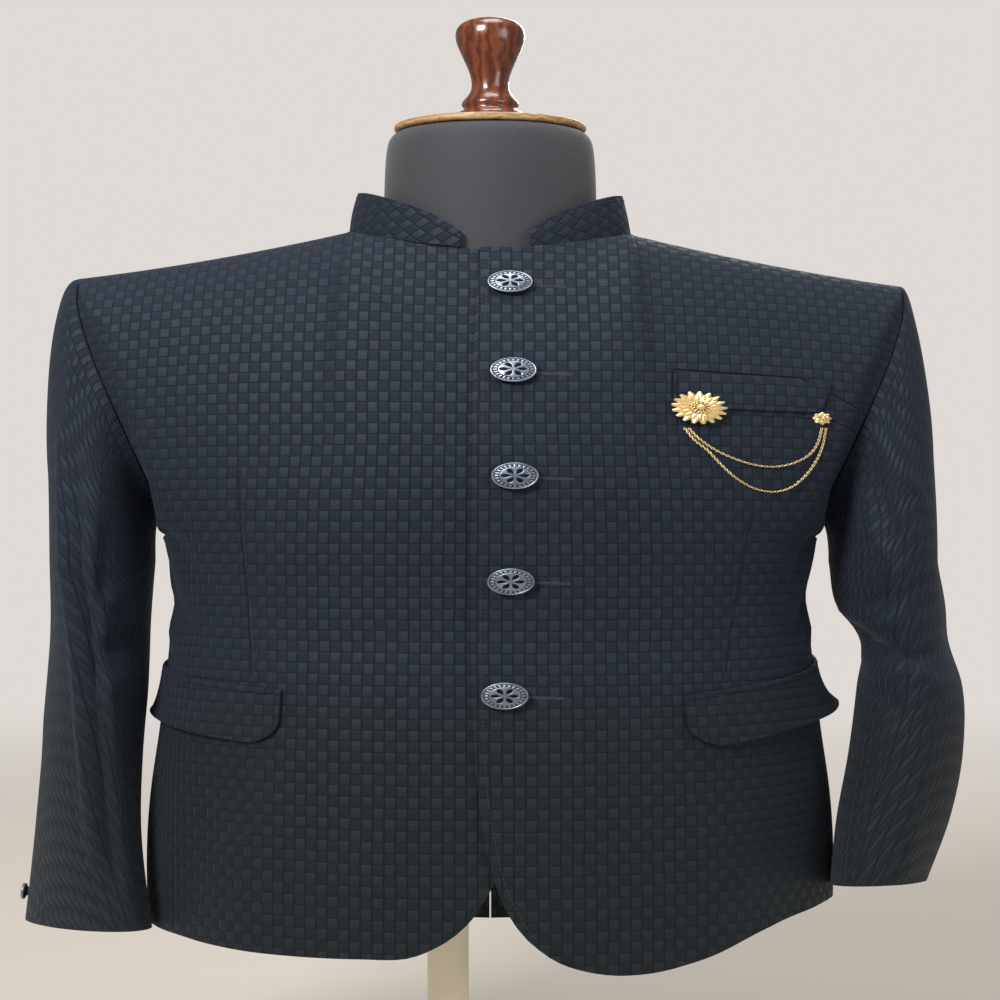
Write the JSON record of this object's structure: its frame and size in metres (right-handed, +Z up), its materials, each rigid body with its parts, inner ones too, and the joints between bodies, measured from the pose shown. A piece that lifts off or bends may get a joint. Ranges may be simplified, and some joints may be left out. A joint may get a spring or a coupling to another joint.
{
  "type": "bandhgala jacket on dress form",
  "caption": "Single-breasted bandhgala jacket with stand collar, welt and flap pockets, brooch and chains, resting on a limbless dress form with a wooden knob, pole and round base.",
  "frame": {"origin": "middle of the base's underside, on the pole's axis", "axes": "+Z up along the pole, -Y out of the jacket's front, +X towards the wearer's left"},
  "size_m": [0.5241, 0.3002, 1.0943],
  "materials": {
    "cloth": "dark slate blue jacquard suiting, woven in small tiles",
    "button_metal": "domed silver-toned metal with a small rosette",
    "brooch_gold": "polished yellow metal",
    "form_cloth": "grey stretch cover over the form",
    "cap_wood": "satin wood disc",
    "knob_wood": "glossy red-brown turned wood",
    "stand_paint": "cream enamel"
  },
  "bodies": {
    "root": {"front_over": "cloth", "front_under": "cloth", "back_left": "cloth", "back_right": "cloth", "collar": "cloth", "sleeve_top_left": "cloth", "sleeve_under_left": "cloth", "sleeve_top_right": "cloth", "sleeve_under_right": "cloth", "breast_welt": "cloth", "flap_left": "cloth", "flap_right": "cloth", "jetting_left": "cloth", "jetting_right": "cloth", "button_1": "button_metal", "button_2": "button_metal", "button_3": "button_metal", "button_4": "button_metal", "button_5": "button_metal", "cuff_button_left": "button_metal", "cuff_button_right": "button_metal", "brooch_flower": "brooch_gold", "brooch_small_flower": "brooch_gold", "brooch_chain_upper": "brooch_gold", "brooch_chain_lower": "brooch_gold", "form_body": "form_cloth", "form_cap": "cap_wood", "form_knob": "knob_wood", "pole": "stand_paint", "base": "stand_paint"}
  },
  "joints": []
}
